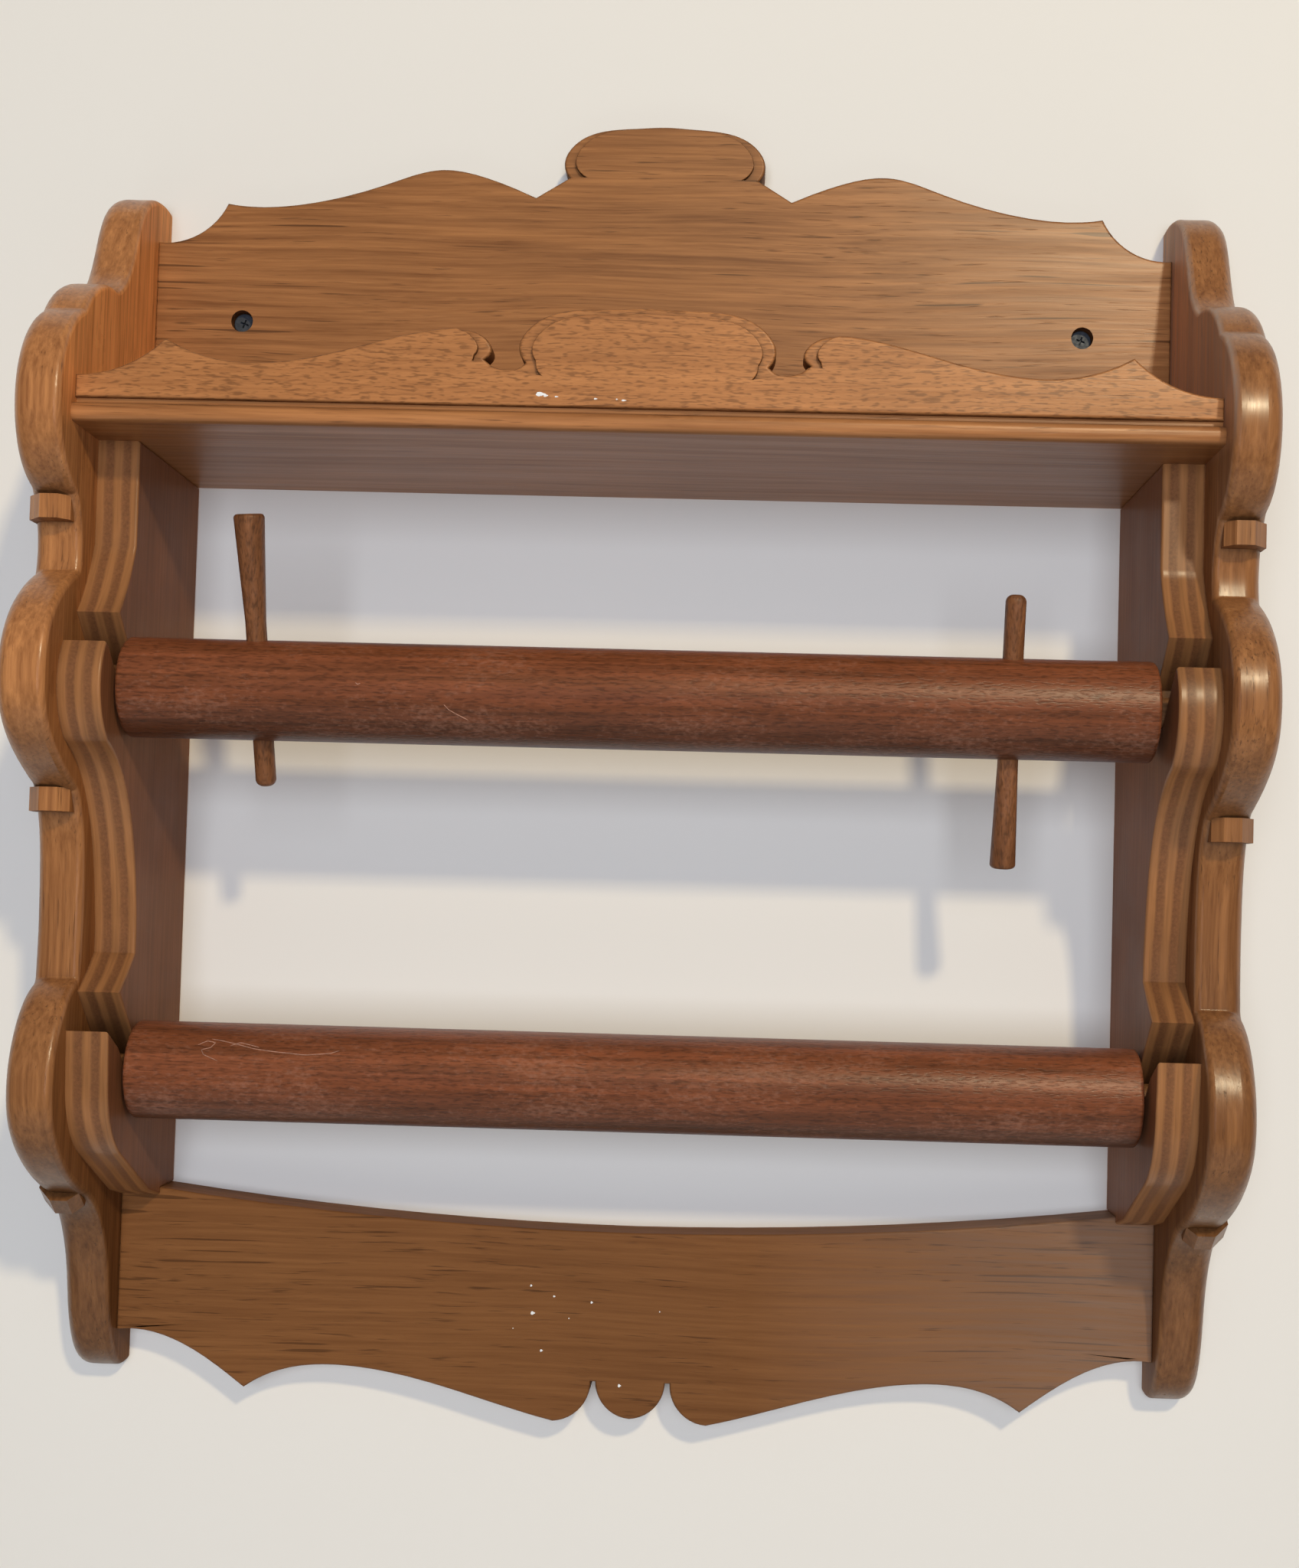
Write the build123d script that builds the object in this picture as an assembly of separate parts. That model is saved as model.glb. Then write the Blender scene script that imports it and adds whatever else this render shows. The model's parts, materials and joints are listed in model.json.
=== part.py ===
from build123d import *
import math
import os

os.makedirs("parts", exist_ok=True)

# Frame of the part, in millimetres: X to the right, Y into the wall, Z up.
# The origin is on the wall, midway between the two wall screws.

# Overall sizes
clear_width = 412.0
bracket_thickness = 17.0
panel_thickness = 19.5
board_thickness = 18.0
shelf_depth = 114.0
shelf_below_screws = 70.5

# Where the roller axes lie, forward of the wall and below the underside of the shelf
upper_roller_forward = 86.8
upper_roller_drop = 100.6
lower_roller_forward = 60.8
lower_roller_drop = 255.1

# Rollers, and the pins that they hang on
roller_diameter = 40.0
roller_end_round = 1.5
upper_roller_play = 5.0
upper_roller_shift = -1.0
lower_roller_play = 3.5
lower_roller_shift = 0.0
pin_diameter = 12.0
pin_in_roller = 25.0
pin_end_gap = 0.5
pin_end_round = 0.8
running_clearance = 0.05
bore_end_gap = 0.5
seat_clearance = 0.3

# Pegs, set in from the bracket faces, each with one flared end reaching along it from the roller axis
left_peg_inset = 53.7
right_peg_inset = 59.2
peg_diameter = 8.2
peg_flare_length = 42.0
peg_thin_end_round = 3.0
peg_flared_end_round = 1.6
peg_lean_forward = 12.0
left_peg_lean_out = 2.7
left_peg_flared_reach = 69.5
left_peg_thin_reach = 38.6
left_peg_flared_diameter = 12.2
right_peg_flared_reach = 64.0
right_peg_thin_reach = 45.0
right_peg_flared_diameter = 10.4

# Side panels
panel_top_height = 125.0
panel_foot_drop = 133.9
panel_corner_round = 1.2
panel_outer_round = 7.0
panel_inner_round = 2.5

# Raised bands across the front edge of a side panel, with a facet on each side
band_width = 9.5
band_depth = 14.0
band_inset = 2.5
band_inner_facet = 4.0
band_outer_facet = 6.0

# Roller brackets
bracket_tail = 3.0
bracket_edge_round = 0.8

# Gallery rail, standing in a rebate along the front of the shelf
rail_thickness = 12.0
rail_setback = 3.5
rail_seat_height = 10.0
nose_height = 7.5
nose_round = 3.2
quirk_depth = 2.3

# Wall screw holes in the back board
screw_spacing = 369.0
screw_hole_diameter = 5.0
screw_head_diameter = 9.6
screw_head_depth = 6.0

# Bottom board
bottom_board_thickness = 19.0
bottom_board_below_axis = 54.9
bottom_board_dip = 13.4
bottom_board_top_round = 6.5

# Dowels that hold the boards and brackets to the side panels
dowel_diameter = 8.0
dowel_length = 30.0
dowel_in_panel = 12.0
bracket_dowel_length = 23.0
dowel_clearance = 0.1
dowel_end_gap = 1.0

# Places worked out from the sizes
shelf_z = -shelf_below_screws
bracket_face = clear_width / 2
left_peg_x = left_peg_inset - bracket_face
right_peg_x = bracket_face - right_peg_inset
panel_face = bracket_face + bracket_thickness
panel_outside = panel_face + panel_thickness
bottom_board_top = -lower_roller_drop - bottom_board_below_axis
rail_face = shelf_depth - rail_setback

# Anchors of the side outlines: forward from the wall, up from the shelf's underside
shelf_front = (shelf_depth, 0.0)
upper_axis = (upper_roller_forward, -upper_roller_drop)
lower_axis = (lower_roller_forward, -lower_roller_drop)
foot_anchor = (bottom_board_thickness, -lower_roller_drop)

# The scalloped boards are drawn for this half width and stretched to the width that is set
drawn_half_width = 223.0
board_stretch = panel_face / drawn_half_width


def off(anchor, forward, up):
    """A point measured from an anchor in the side plane."""
    return (anchor[0] + forward, anchor[1] + up)


def between(first, second, share, forward):
    """A point part of the way from one place to another, moved forward from the line between them."""
    return (first[0] + share * (second[0] - first[0]) + forward, first[1] + share * (second[1] - first[1]))


def run_line(start, runs):
    """Draw runs end to end: one point is a straight line, two are an arc, more are a curve."""
    here = start
    for run in runs:
        if len(run) == 1:
            Line(here, run[0])
        elif len(run) == 2:
            ThreePointArc(here, *run)
        else:
            Spline(here, *run)
        here = run[-1]


def side_point(x, forward, up):
    """A point of the side plane, placed in the rack at x."""
    return (x, -forward, shelf_z + up)


def side_plane(x):
    """The plane across the rack at x: forward from the wall, then up from the shelf's underside."""
    return Plane(origin=side_point(x, 0, 0), x_dir=(0, -1, 0), z_dir=(-1, 0, 0))


def side_slab(outside_x, thickness, start, runs, corner_round=0):
    """A slab cut to a side outline, from its outside face inwards, its front corners rounded if asked."""
    with BuildPart() as slab:
        with BuildSketch(side_plane(outside_x)) as outline:
            with BuildLine():
                run_line(start, runs)
            make_face()
            if corner_round:
                fillet([corner for corner in outline.vertices() if corner.X > corner_round], corner_round)
        extrude(amount=thickness)
    return slab.part


def scalloped_board(back, thickness, start, runs):
    """A board with the same outline on both sides of the middle, drawn for its right half."""
    stretched = [[(x * board_stretch, up) for x, up in run] for run in runs]
    plane = Plane(origin=side_point(0, back, 0), x_dir=(1, 0, 0), z_dir=(0, -1, 0))
    with BuildPart() as board:
        with BuildSketch(plane):
            with BuildLine():
                run_line(start, stretched)
                mirror(about=Plane.YZ)
            make_face()
        extrude(amount=thickness)
    return board.part


def edges_at(solid, axis_name, place):
    """The edges that lie wholly at one place along X or Y, without those against the wall."""
    margin = 0.01
    found = ShapeList()
    for edge in solid.edges():
        box = edge.bounding_box()
        low = getattr(box.min, axis_name)
        high = getattr(box.max, axis_name)
        if abs(low - place) < margin and abs(high - place) < margin and box.min.Y < -margin:
            found.append(edge)
    return found


def rod(centre, direction, start, end, diameter):
    """A round rod along a direction, between two distances from its centre point."""
    middle = Plane(origin=centre, z_dir=direction).offset((start + end) / 2)
    return middle * Cylinder(diameter / 2, end - start)


def dowel_group(places, inside_x, length, in_panel, diameter):
    """Dowels across the joints at the right side panel, and the holes that they lie in."""
    dowels = []
    holes = []
    for forward, up in places:
        centre = side_point(inside_x, forward, up)
        end = in_panel
        start = in_panel - length
        dowels.append(rod(centre, (1, 0, 0), start, end, diameter))
        wide = diameter + 2 * dowel_clearance
        holes.append(rod(centre, (1, 0, 0), start - dowel_end_gap, end + dowel_end_gap, wide))
    return dowels, holes


def both_sides(solids):
    """Solids of the right side, together with their mirror images on the left."""
    return list(solids) + [mirror(solid, about=Plane.YZ) for solid in solids]


def cut(solid, tools):
    """A solid with holes taken out of it."""
    for tool in tools:
        solid = solid - tool
    return solid


def save(name, solids):
    """Write one piece, or one group of like pieces, to its own file."""
    pieces = solids if isinstance(solids, list) else [solids]
    loose = [solid for piece in pieces for solid in piece.solids()]
    export_step(loose[0] if len(loose) == 1 else Compound(children=loose), f"parts/{name}.step")


# The end of the panel's first lobe and the top of the neck under it
first_lobe_end = off(shelf_front, -10, -27)
neck_top = off(upper_axis, 10.6, 58)


def panel_runs():
    """The side panel's outline: head, ring, lobes, neck, waist and foot, then up the wall."""
    top = panel_top_height
    foot_end = -lower_roller_drop - panel_foot_drop
    head = [(14, top - 0.6), (35, top - 11), (45.5, top - 30), (52.5, top - 45.5),
            off(shelf_front, -48, 67)]
    ring = [off(shelf_front, -27, 61.5), off(shelf_front, -12.5, 47.5)]
    first_lobe = [off(shelf_front, -2, 40.5), off(shelf_front, 8.5, 25), off(shelf_front, 12, 7),
                  off(shelf_front, 8, -11), first_lobe_end]
    neck = [neck_top, off(upper_axis, 11.2, 44.5)]
    second_lobe = [off(upper_axis, 28.2, 34), off(upper_axis, 40.2, 19.5), off(upper_axis, 44.7, 2.6),
                   off(upper_axis, 40.7, -16.5), off(upper_axis, 25.2, -31.5), off(upper_axis, 4.2, -42.4)]
    waist_top = second_lobe[-1]
    waist_foot = off(lower_axis, 20.5, 37.2)
    waist = [between(waist_top, waist_foot, 0.18, -4.9), between(waist_top, waist_foot, 0.5, -5.1),
             between(waist_top, waist_foot, 0.72, -3.5), waist_foot]
    third_lobe = [off(lower_axis, 30.5, 31), off(lower_axis, 40.7, 17.5), off(lower_axis, 46.2, -0.9),
                  off(lower_axis, 44, -18.5), off(lower_axis, 35, -31.5), off(lower_axis, 0.5, -52.2)]
    foot = [off(foot_anchor, 26, -65.5), off(foot_anchor, 15.5, -86), off(foot_anchor, 10, -110),
            off(foot_anchor, -3, 3.3 - panel_foot_drop), (0, foot_end)]
    return [head, ring, first_lobe, neck, second_lobe, waist, third_lobe, foot, [(0, top)]]


# Where the raised bands cross the panel's edge, and the slope of their fronts in degrees
band_places = [
    (between(first_lobe_end, neck_top, 0.33974, 5.2423), 0),
    (off(upper_axis, 9.0, -46.0), 0),
    (off(lower_axis, 2.5, -57.2), -48),
]


def band(place, slope):
    """A raised band, as a faceted section carried along the edge for the band's width."""
    lean = math.radians(slope)
    along = (0, -math.sin(lean), -math.cos(lean))
    section_plane = Plane(origin=side_point(panel_face, *place), x_dir=(1, 0, 0), z_dir=along)
    section = [
        (band_inset, -band_depth),
        (band_inset, -band_inner_facet),
        (band_inset + band_inner_facet, 0),
        (panel_thickness - band_outer_facet, 0),
        (panel_thickness, -band_outer_facet),
        (panel_thickness, -band_depth),
    ]
    face = section_plane * make_face(Polyline(*section, close=True))
    return extrude(face, band_width / 2, both=True)


def pin_slot(axis, drop_to, tip):
    """The slot round a pin: back from its lip, down and under the pin, and up to the hook's tip."""
    seat = pin_diameter / 2 + seat_clearance
    corner = seat / math.sqrt(2)
    under = math.radians(247.5)
    rise = tip - corner
    return [
        [off(axis, -seat, drop_to)],
        [off(axis, -seat, 0)],
        [off(axis, seat * math.cos(under), seat * math.sin(under)), off(axis, corner, -corner)],
        [off(axis, corner + rise, rise - corner)],
    ]


def bracket_runs():
    """The bracket's outline: under the shelf, round both slots and hooks, to the bottom board."""
    above_slot = [
        [off(upper_axis, -4.8, upper_roller_drop)],
        [off(upper_axis, -4.8, 58)],
        [off(upper_axis, 1.5, 44), off(upper_axis, 12.2, 28.1)],
    ]
    waist_top = off(upper_axis, 20.2, -23.4)
    waist_foot = off(lower_axis, 3.7, 56)
    upper_hook = [
        [off(upper_axis, 25.5, 14.8)],
        [off(upper_axis, 30.7, -3.4), waist_top],
        [between(waist_top, waist_foot, 0.29, -14.7), between(waist_top, waist_foot, 0.72, -8.9), waist_foot],
        [off(lower_axis, 3.7, 47.6)],
        [off(lower_axis, 12.2, 39.6)],
        [off(lower_axis, 21.2, 32.1)],
    ]
    lower_hook = [
        [off(lower_axis, 32.2, 17.1)],
        [off(lower_axis, 30.7, -4.9)],
        [off(lower_axis, 25.5, -21.5), off(lower_axis, 12.2, -34)],
        [off(lower_axis, -25.8, -53.9)],
        [(bottom_board_thickness, bottom_board_top - bracket_tail)],
        [(bottom_board_thickness, bottom_board_top)],
        [(0, bottom_board_top)],
        [(0, 0)],
    ]
    upper_slot = pin_slot(upper_axis, 9.6, 22.5)
    lower_slot = pin_slot(lower_axis, 4.6, 19.2)
    return above_slot + upper_slot + upper_hook + lower_slot + lower_hook


def back_board_runs():
    """Right half of the back board's outline, from the middle of its foot to the top of its crest."""
    return [
        [(223, board_thickness)],
        [(223, 105.2)],
        [(205, 109.3), (192.6, 123.1)],
        [(161, 123.2), (122, 133.3), (98.2, 140), (78, 136.7), (56.3, 128.3)],
        [(41.5, 137.5)],
        [(44, 147), (38.5, 154.5), (22, 160.2), (0, 162.2)],
    ]


def rail_runs():
    """Right half of the gallery rail's outline, from the middle of its foot to the top of its crest."""
    return [
        [(223, rail_seat_height)],
        [(223, 19)],
        [(205, 22.5), (188.3, 33.7)],
        [(146, 25.3), (110, 33), (78.2, 40), (64, 37.5), (60.8, 33), (63.5, 28.5)],
        [(55, 24.2), (47.5, 27.5)],
        [(50, 35), (45, 42.5), (24, 49.2), (0, 50.4)],
    ]


def bottom_board_runs():
    """Right half of the bottom board's outline, from the middle of its top to its centre lobe."""
    top = bottom_board_top
    return [
        [(110, top - 0.7 * bottom_board_dip), (206, top)],
        [(223, top)],
        [(223, top - 61.5)],
        [(207, top - 62.3), (184, top - 72.5), (167, top - 84.5)],
        [(148, top - 75.8), (120, top - 74.2), (74, top - 83.4), (33, top - 94.6)],
        [(23.5, top - 91), (17, top - 77.2)],
        [(15, top - 77.2)],
        [(10.5, top - 88), (0, top - 92.8)],
    ]


# Dowels across the joints at the right side panel
half_board = board_thickness / 2
shelf_dowel_places = [(25, half_board), (75, half_board)]
back_dowel_places = [(half_board, 45), (half_board, 85)]
bottom_dowel_places = [
    (bottom_board_thickness / 2, bottom_board_top - 15),
    (bottom_board_thickness / 2, bottom_board_top - 46),
]
bracket_dowel_places = [
    off(upper_axis, -50, 40),
    off(upper_axis, -50, -75),
    off(lower_axis, -35, -25),
]
shelf_dowels, shelf_holes = dowel_group(
    shelf_dowel_places, panel_face, dowel_length, dowel_in_panel, dowel_diameter)
back_dowels, back_holes = dowel_group(
    back_dowel_places, panel_face, dowel_length, dowel_in_panel, dowel_diameter)
bottom_dowels, bottom_holes = dowel_group(
    bottom_dowel_places, panel_face, dowel_length, dowel_in_panel, dowel_diameter)
bracket_dowels, bracket_holes = dowel_group(
    bracket_dowel_places, panel_face, bracket_dowel_length, dowel_in_panel, dowel_diameter)

save("shelf_dowels", both_sides(shelf_dowels))
save("back_board_dowels", both_sides(back_dowels))
save("bottom_board_dowels", both_sides(bottom_dowels))
save("right_bracket_dowels", bracket_dowels)
save("left_bracket_dowels", [mirror(dowel, about=Plane.YZ) for dowel in bracket_dowels])

# Side panels
right_panel = side_slab(
    panel_outside, panel_thickness, (0, panel_top_height), panel_runs(), panel_corner_round)
right_panel = fillet(edges_at(right_panel, "X", panel_outside), panel_outer_round)
right_panel = fillet(edges_at(right_panel, "X", panel_face), panel_inner_round)
for place, slope in band_places:
    right_panel = right_panel + band(place, slope)
right_panel = cut(right_panel, shelf_holes + back_holes + bottom_holes + bracket_holes)
save("right_side_panel", right_panel)
save("left_side_panel", mirror(right_panel, about=Plane.YZ))

# Roller brackets
right_bracket = side_slab(panel_face, bracket_thickness, (0, 0), bracket_runs())
bracket_front = edges_at(right_bracket, "X", bracket_face).filter_by(
    lambda edge: edge.bounding_box().min.Y < -bottom_board_thickness - bracket_edge_round
    and edge.bounding_box().min.Z < shelf_z - bracket_edge_round)
right_bracket = fillet(bracket_front, bracket_edge_round)
right_bracket = cut(right_bracket, bracket_holes)
save("right_roller_bracket", right_bracket)
save("left_roller_bracket", mirror(right_bracket, about=Plane.YZ))

# Shelf board, with its nose, the groove above it and the rebate for the rail
shelf_section = [
    (0, 0),
    (shelf_depth, 0),
    (shelf_depth, nose_height),
    (rail_face - quirk_depth, nose_height),
    (rail_face - quirk_depth, rail_seat_height),
    (rail_face - rail_thickness, rail_seat_height),
    (rail_face - rail_thickness, board_thickness),
    (0, board_thickness),
]
shelf = extrude(side_plane(panel_face) * make_face(Polyline(*shelf_section, close=True)), 2 * panel_face)
shelf = fillet(shelf.edges().filter_by(Axis.X).sort_by(Axis.Y)[:2], nose_round)
save("shelf_board", cut(shelf, both_sides(shelf_holes)))

# Back board, with its two countersunk screw holes
back_board = scalloped_board(0, board_thickness, (0, board_thickness), back_board_runs())
for side in (-1, 1):
    screw_line = (side * screw_spacing / 2, 0, 0)
    back_board = back_board - rod(screw_line, (0, -1, 0), 0, board_thickness, screw_hole_diameter)
    back_board = back_board - rod(
        screw_line, (0, -1, 0), board_thickness - screw_head_depth, board_thickness, screw_head_diameter)
save("back_board", cut(back_board, both_sides(back_holes)))

# Gallery rail
rail = scalloped_board(rail_face - rail_thickness, rail_thickness, (0, rail_seat_height), rail_runs())
save("gallery_rail", rail)

# Bottom board, its upper front edge rounded over
bottom_board = scalloped_board(
    0, bottom_board_thickness, (0, bottom_board_top - bottom_board_dip), bottom_board_runs())
upper_edges = edges_at(bottom_board, "Y", -bottom_board_thickness).filter_by(
    lambda edge: edge.bounding_box().min.Z > shelf_z + bottom_board_top - bottom_board_dip - 1)
bottom_board = fillet(upper_edges, bottom_board_top_round)
save("bottom_board", cut(bottom_board, both_sides(bottom_holes)))


def roller_and_pins(axis, play, shift):
    """A roller with a bore in each end, and the pins on which it turns."""
    length = clear_width - play
    centre = side_point(shift, *axis)
    roller = rod(centre, (1, 0, 0), -length / 2, length / 2, roller_diameter)
    roller = fillet(roller.edges().filter_by(GeomType.CIRCLE), roller_end_round)
    pins = []
    for side in (-1, 1):
        reach = panel_face - pin_end_gap - side * shift
        bore_start = length / 2 - pin_in_roller
        pin = rod(centre, (side, 0, 0), bore_start, reach, pin_diameter)
        pins.append(fillet(pin.edges().filter_by(GeomType.CIRCLE), pin_end_round))
        bore_diameter = pin_diameter + 2 * running_clearance
        roller = roller - rod(centre, (side, 0, 0), bore_start - bore_end_gap, length / 2, bore_diameter)
    return roller, pins


def peg_direction(lean_out):
    """The upward direction of a peg that leans forward, and towards the left by a second angle."""
    return (-math.tan(math.radians(lean_out)), -math.tan(math.radians(peg_lean_forward)), 1)


def peg(x, up_direction, flared_side, flared_reach, thin_reach, flared_diameter):
    """A peg through the upper roller at x, its flared end up for 1 and down for -1."""
    thin = peg_diameter / 2
    section = [
        (0, -thin_reach),
        (thin, -thin_reach),
        (thin, flared_reach - peg_flare_length),
        (flared_diameter / 2, flared_reach),
        (0, flared_reach),
    ]
    turned = revolve(Plane.XZ * make_face(Polyline(*section, close=True)), Axis.Z)
    rings = turned.edges().filter_by(GeomType.CIRCLE).sort_by(Axis.Z)
    turned = fillet(rings[0], peg_thin_end_round)
    rings = turned.edges().filter_by(GeomType.CIRCLE).sort_by(Axis.Z)
    turned = fillet(rings[-1], peg_flared_end_round)
    direction = Vector(*up_direction) * flared_side
    return Plane(origin=side_point(x, *upper_axis), z_dir=direction) * turned


# Rollers and pins
upper_roller, upper_pins = roller_and_pins(upper_axis, upper_roller_play, upper_roller_shift)
lower_roller, lower_pins = roller_and_pins(lower_axis, lower_roller_play, lower_roller_shift)
save("upper_roller_pins", upper_pins)
save("lower_roller_pins", lower_pins)
save("lower_roller", lower_roller)

# Pegs, and the holes that they slide in
left_up = peg_direction(left_peg_lean_out)
right_up = peg_direction(0)
save("left_peg", peg(left_peg_x, left_up, 1, left_peg_flared_reach, left_peg_thin_reach,
                     left_peg_flared_diameter))
save("right_peg", peg(right_peg_x, right_up, -1, right_peg_flared_reach, right_peg_thin_reach,
                      right_peg_flared_diameter))
for x, up_direction in ((left_peg_x, left_up), (right_peg_x, right_up)):
    hole_diameter = peg_diameter + 2 * running_clearance
    hole_centre = side_point(x, *upper_axis)
    upper_roller = upper_roller - rod(
        hole_centre, up_direction, -roller_diameter, roller_diameter, hole_diameter)
save("upper_roller", upper_roller)
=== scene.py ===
import json
import math
from functools import partial

import bpy
from bpy.props import FloatProperty, FloatVectorProperty, PointerProperty
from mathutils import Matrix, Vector

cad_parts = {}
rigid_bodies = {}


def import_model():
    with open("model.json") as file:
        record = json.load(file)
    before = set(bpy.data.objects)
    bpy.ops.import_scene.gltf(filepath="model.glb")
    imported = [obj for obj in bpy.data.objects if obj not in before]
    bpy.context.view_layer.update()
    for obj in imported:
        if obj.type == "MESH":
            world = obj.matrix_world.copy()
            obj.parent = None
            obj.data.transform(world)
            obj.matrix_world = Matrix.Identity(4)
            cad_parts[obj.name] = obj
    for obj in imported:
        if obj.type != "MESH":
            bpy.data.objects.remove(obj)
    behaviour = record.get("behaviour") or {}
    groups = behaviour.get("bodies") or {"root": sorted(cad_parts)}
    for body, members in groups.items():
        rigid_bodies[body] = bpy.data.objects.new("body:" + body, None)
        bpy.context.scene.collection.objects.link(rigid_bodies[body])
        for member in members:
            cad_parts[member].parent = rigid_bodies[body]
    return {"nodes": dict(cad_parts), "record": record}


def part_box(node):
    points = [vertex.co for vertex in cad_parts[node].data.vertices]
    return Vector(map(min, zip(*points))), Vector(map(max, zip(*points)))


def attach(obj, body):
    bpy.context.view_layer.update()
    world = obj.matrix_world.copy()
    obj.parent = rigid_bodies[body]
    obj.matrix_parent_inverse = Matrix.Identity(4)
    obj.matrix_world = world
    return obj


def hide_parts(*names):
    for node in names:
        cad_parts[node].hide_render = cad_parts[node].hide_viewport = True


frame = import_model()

bl_info = {
    "name": "Wall Spice Rack",
    "version": (1, 0, 0),
    "blender": (4, 5, 0),
    "location": "3D View > Sidebar > Spice Rack",
    "description": "Finishes an oak wall rack: a railed spice shelf over a paper roller and a towel roller",
    "category": "Object",
}

MILLIMETRE = 0.001

# Places and sizes of the frame: the shelf's underside above the wall screws, the inner faces of the right side
# panel and bracket, and the distance between the wall screws
SHELF_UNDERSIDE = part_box("shelf_board")[0].z
PANEL_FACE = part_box("right_side_panel")[0].x
BRACKET_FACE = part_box("right_roller_bracket")[0].x
SCREW_SPACING = frame["record"]["mounts"][0]["dims"]["spacing_x_mm"] * MILLIMETRE

# A board's outline is read a little in front of its back face, a bracket's in the middle of its thickness
BOARD_SECTION = 0.002
BRACKET_SECTION = BRACKET_FACE + 0.0085
# The recess of a wall screw, and the hole behind it
RECESS_DEPTH = 0.006
RECESS_RADIUS = 0.0048
SCREW_HOLE_RADIUS = 0.0025
# How far cutters reach past what they cut, and below the floor of a border, which stops them there
OVERCUT = 0.001
FLOOR_OVERCUT = 0.00119
# Rounding of the corners between a crest and its border, and of its worn edge
CREST_CORNER = 0.0068
WORN_EDGE = 0.0005
# How far a plug reaches behind its board's face, and in front of it
PLUG_DEPTH = 0.006
PLUG_FRONT = 0.003
# What lies within these counts as one place: two vertices of a finished piece, a vertex and a cutting plane,
# two vertices of the frame, and two vertices of an outline
MERGE = 0.000002
ON_PLANE = 0.000001
FRAME_MERGE = 0.00001
CLOSE = 0.0001
# Edges that bend less than this are one straight edge
STRAIGHT = math.radians(0.2)

# Turns that bring the grain of a piece to the pattern's X
ALONG_X = (0.0, 0.0, 0.0)
ALONG_Z = (0.0, math.radians(90), 0.0)


def linear(hex_colour):
    """Linear colour of an sRGB hex value, with full alpha."""
    parts = [int(hex_colour[i:i + 2], 16) / 255 for i in (0, 2, 4)]
    return tuple(c / 12.92 if c <= 0.04045 else ((c + 0.055) / 1.055) ** 2.4 for c in parts) + (1.0,)


def colour_choice(name, description, hex_colour):
    """A colour that the user can change."""
    return FloatVectorProperty(name=name, description=description, subtype="COLOR", size=4, min=0, max=1,
                               default=linear(hex_colour))


def length_choice(name, description, millimetres):
    """A length that the user can change."""
    return FloatProperty(name=name, description=description, subtype="DISTANCE", unit="LENGTH", min=0,
                         precision=5, default=millimetres * MILLIMETRE)


class SpiceRackSizes(bpy.types.PropertyGroup):
    """Sizes of the finish that the frame leaves plain."""

    board_round: length_choice("Board Edge", "Rounding of the boards' front edges", 1.2)
    bracket_round: length_choice("Bracket Edge", "Rounding of the brackets' edges", 1.1)
    crest_step: length_choice("Crest Step", "Depth of the border carved round the crests", 2.0)
    screw_head: length_choice("Screw Head", "Width of a wall screw's head", 9.0)
    ply: length_choice("Ply", "Thickness of one ply of the brackets", 3.4)
    oak_ring: length_choice("Oak Rings", "Width of the growth rings in the oak", 5.0)


class SpiceRackColours(bpy.types.PropertyGroup):
    """Colours of the woods, the screws and the stage."""

    oak: colour_choice("Oak", "Stained oak between its growth rings", "AD7343")
    oak_ring: colour_choice("Oak Ring", "Growth rings of the stained oak", "7A4A27")
    oak_pore: colour_choice("Oak Pores", "Open pores filled with stain", "452815")
    # Colour of the painted sheen: reflected light painted onto the oak
    painted_sheen: colour_choice("Varnish Bloom", "Milky haze in the oak's varnish", "C8B8A8")
    ply_long: colour_choice("Long Plies", "Plies with their grain along the edge", "99663C")
    ply_cross: colour_choice("Cross Plies", "Plies that show their end grain", "774C2E")
    ply_face: colour_choice("Ply Face", "Plain veneer on the brackets' faces", "845437")
    roller: colour_choice("Roller", "Red-brown wood of the rollers", "8A4C2D")
    roller_streak: colour_choice("Roller Streaks", "Darker streaks along the rollers", "6A3A20")
    peg: colour_choice("Peg", "Red-brown wood of the pegs", "80502F")
    peg_streak: colour_choice("Peg Streaks", "Darker streaks along the pegs", "653D23")
    dowel: colour_choice("Dowel", "Stained beech", "875C3A")
    screw: colour_choice("Screw", "Blackened steel", "4A4D52")
    scuff: colour_choice("Scuffs", "Rubbed patches on the rollers and pegs", "A87860")
    scratch: colour_choice("Scratches", "Bare wood in the rollers' scratches", "B08068")
    paint: colour_choice("Paint Specks", "Specks of dried wall paint", "F0ECE4")
    wall: colour_choice("Wall", "Plain painted wall", "EBE3D6")
    floor: colour_choice("Floor", "Plain pale floor", "DDD8CF")


def size(name):
    """One of the rack's sizes, as it is set now."""
    return getattr(bpy.context.scene.spice_rack_sizes, name)


def colour(name):
    """One of the rack's colours, as it is set now."""
    return tuple(getattr(bpy.context.scene.spice_rack_colours, name))


def add_node(material, kind, inputs=None, stops=None, **settings):
    """Add a node to a material: its inputs are values, nodes or outputs, its stops places and grey levels."""
    tree = material.node_tree
    node = tree.nodes.new("ShaderNode" + kind)
    for name, value in settings.items():
        setattr(node, name, value)
    if stops:
        ramp = node.color_ramp
        while len(ramp.elements) < len(stops):
            ramp.elements.new(0.5)
        for element, (place, level) in zip(ramp.elements, stops):
            element.position = place
            element.color = (level, level, level, 1.0)
    for name, value in (inputs or {}).items():
        if isinstance(value, bpy.types.Node):
            value = value.outputs[0]
        if isinstance(value, bpy.types.NodeSocket):
            tree.links.new(value, node.inputs[name])
        else:
            node.inputs[name].default_value = value
    return node


def new_material(name):
    """An empty material, and a call that adds a node to it."""
    material = bpy.data.materials.new(name)
    material.use_nodes = True
    material.node_tree.nodes.clear()
    return material, partial(add_node, material)


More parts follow.
